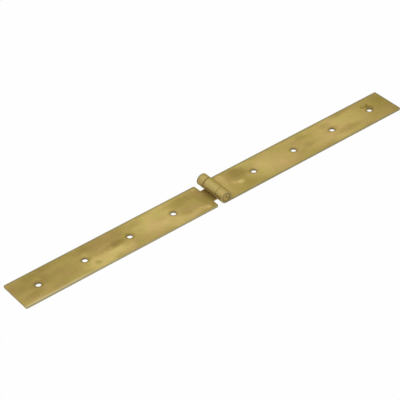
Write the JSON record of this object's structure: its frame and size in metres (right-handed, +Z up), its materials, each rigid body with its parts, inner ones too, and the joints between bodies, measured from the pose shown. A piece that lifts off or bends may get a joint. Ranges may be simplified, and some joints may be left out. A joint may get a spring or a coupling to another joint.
{
  "type": "strap hinge",
  "caption": "Long-leaf brass hinge lying open flat: plain strip leaves with shallowly countersunk screw holes, rolled knuckles and a hammered-over pin.",
  "frame": {"origin": "midway along the pin, straight below it, on the face that both leaves rest on", "axes": "+X along the leaf that carries the outer knuckles, +Y along the pin, +Z up out of the barrel side"},
  "size_m": [0.36, 0.03, 0.01],
  "materials": {
    "sheet_brass": "rolled sheet, dulled and blotched",
    "pin_brass": "drawn rod, satin, ends hammered"
  },
  "bodies": {
    "pinned_side": {"two_knuckle_leaf": "sheet_brass", "hinge_pin": "pin_brass"},
    "swinging_side": {"one_knuckle_leaf": "sheet_brass"}
  },
  "joints": [
    {"name": "leaf_swing", "type": "hinge", "parent": "pinned_side", "child": "swinging_side", "pos_m": [0, 0, 0.005], "axis": [0, 1, 0], "range_deg": [-112, 181.8]}
  ]
}
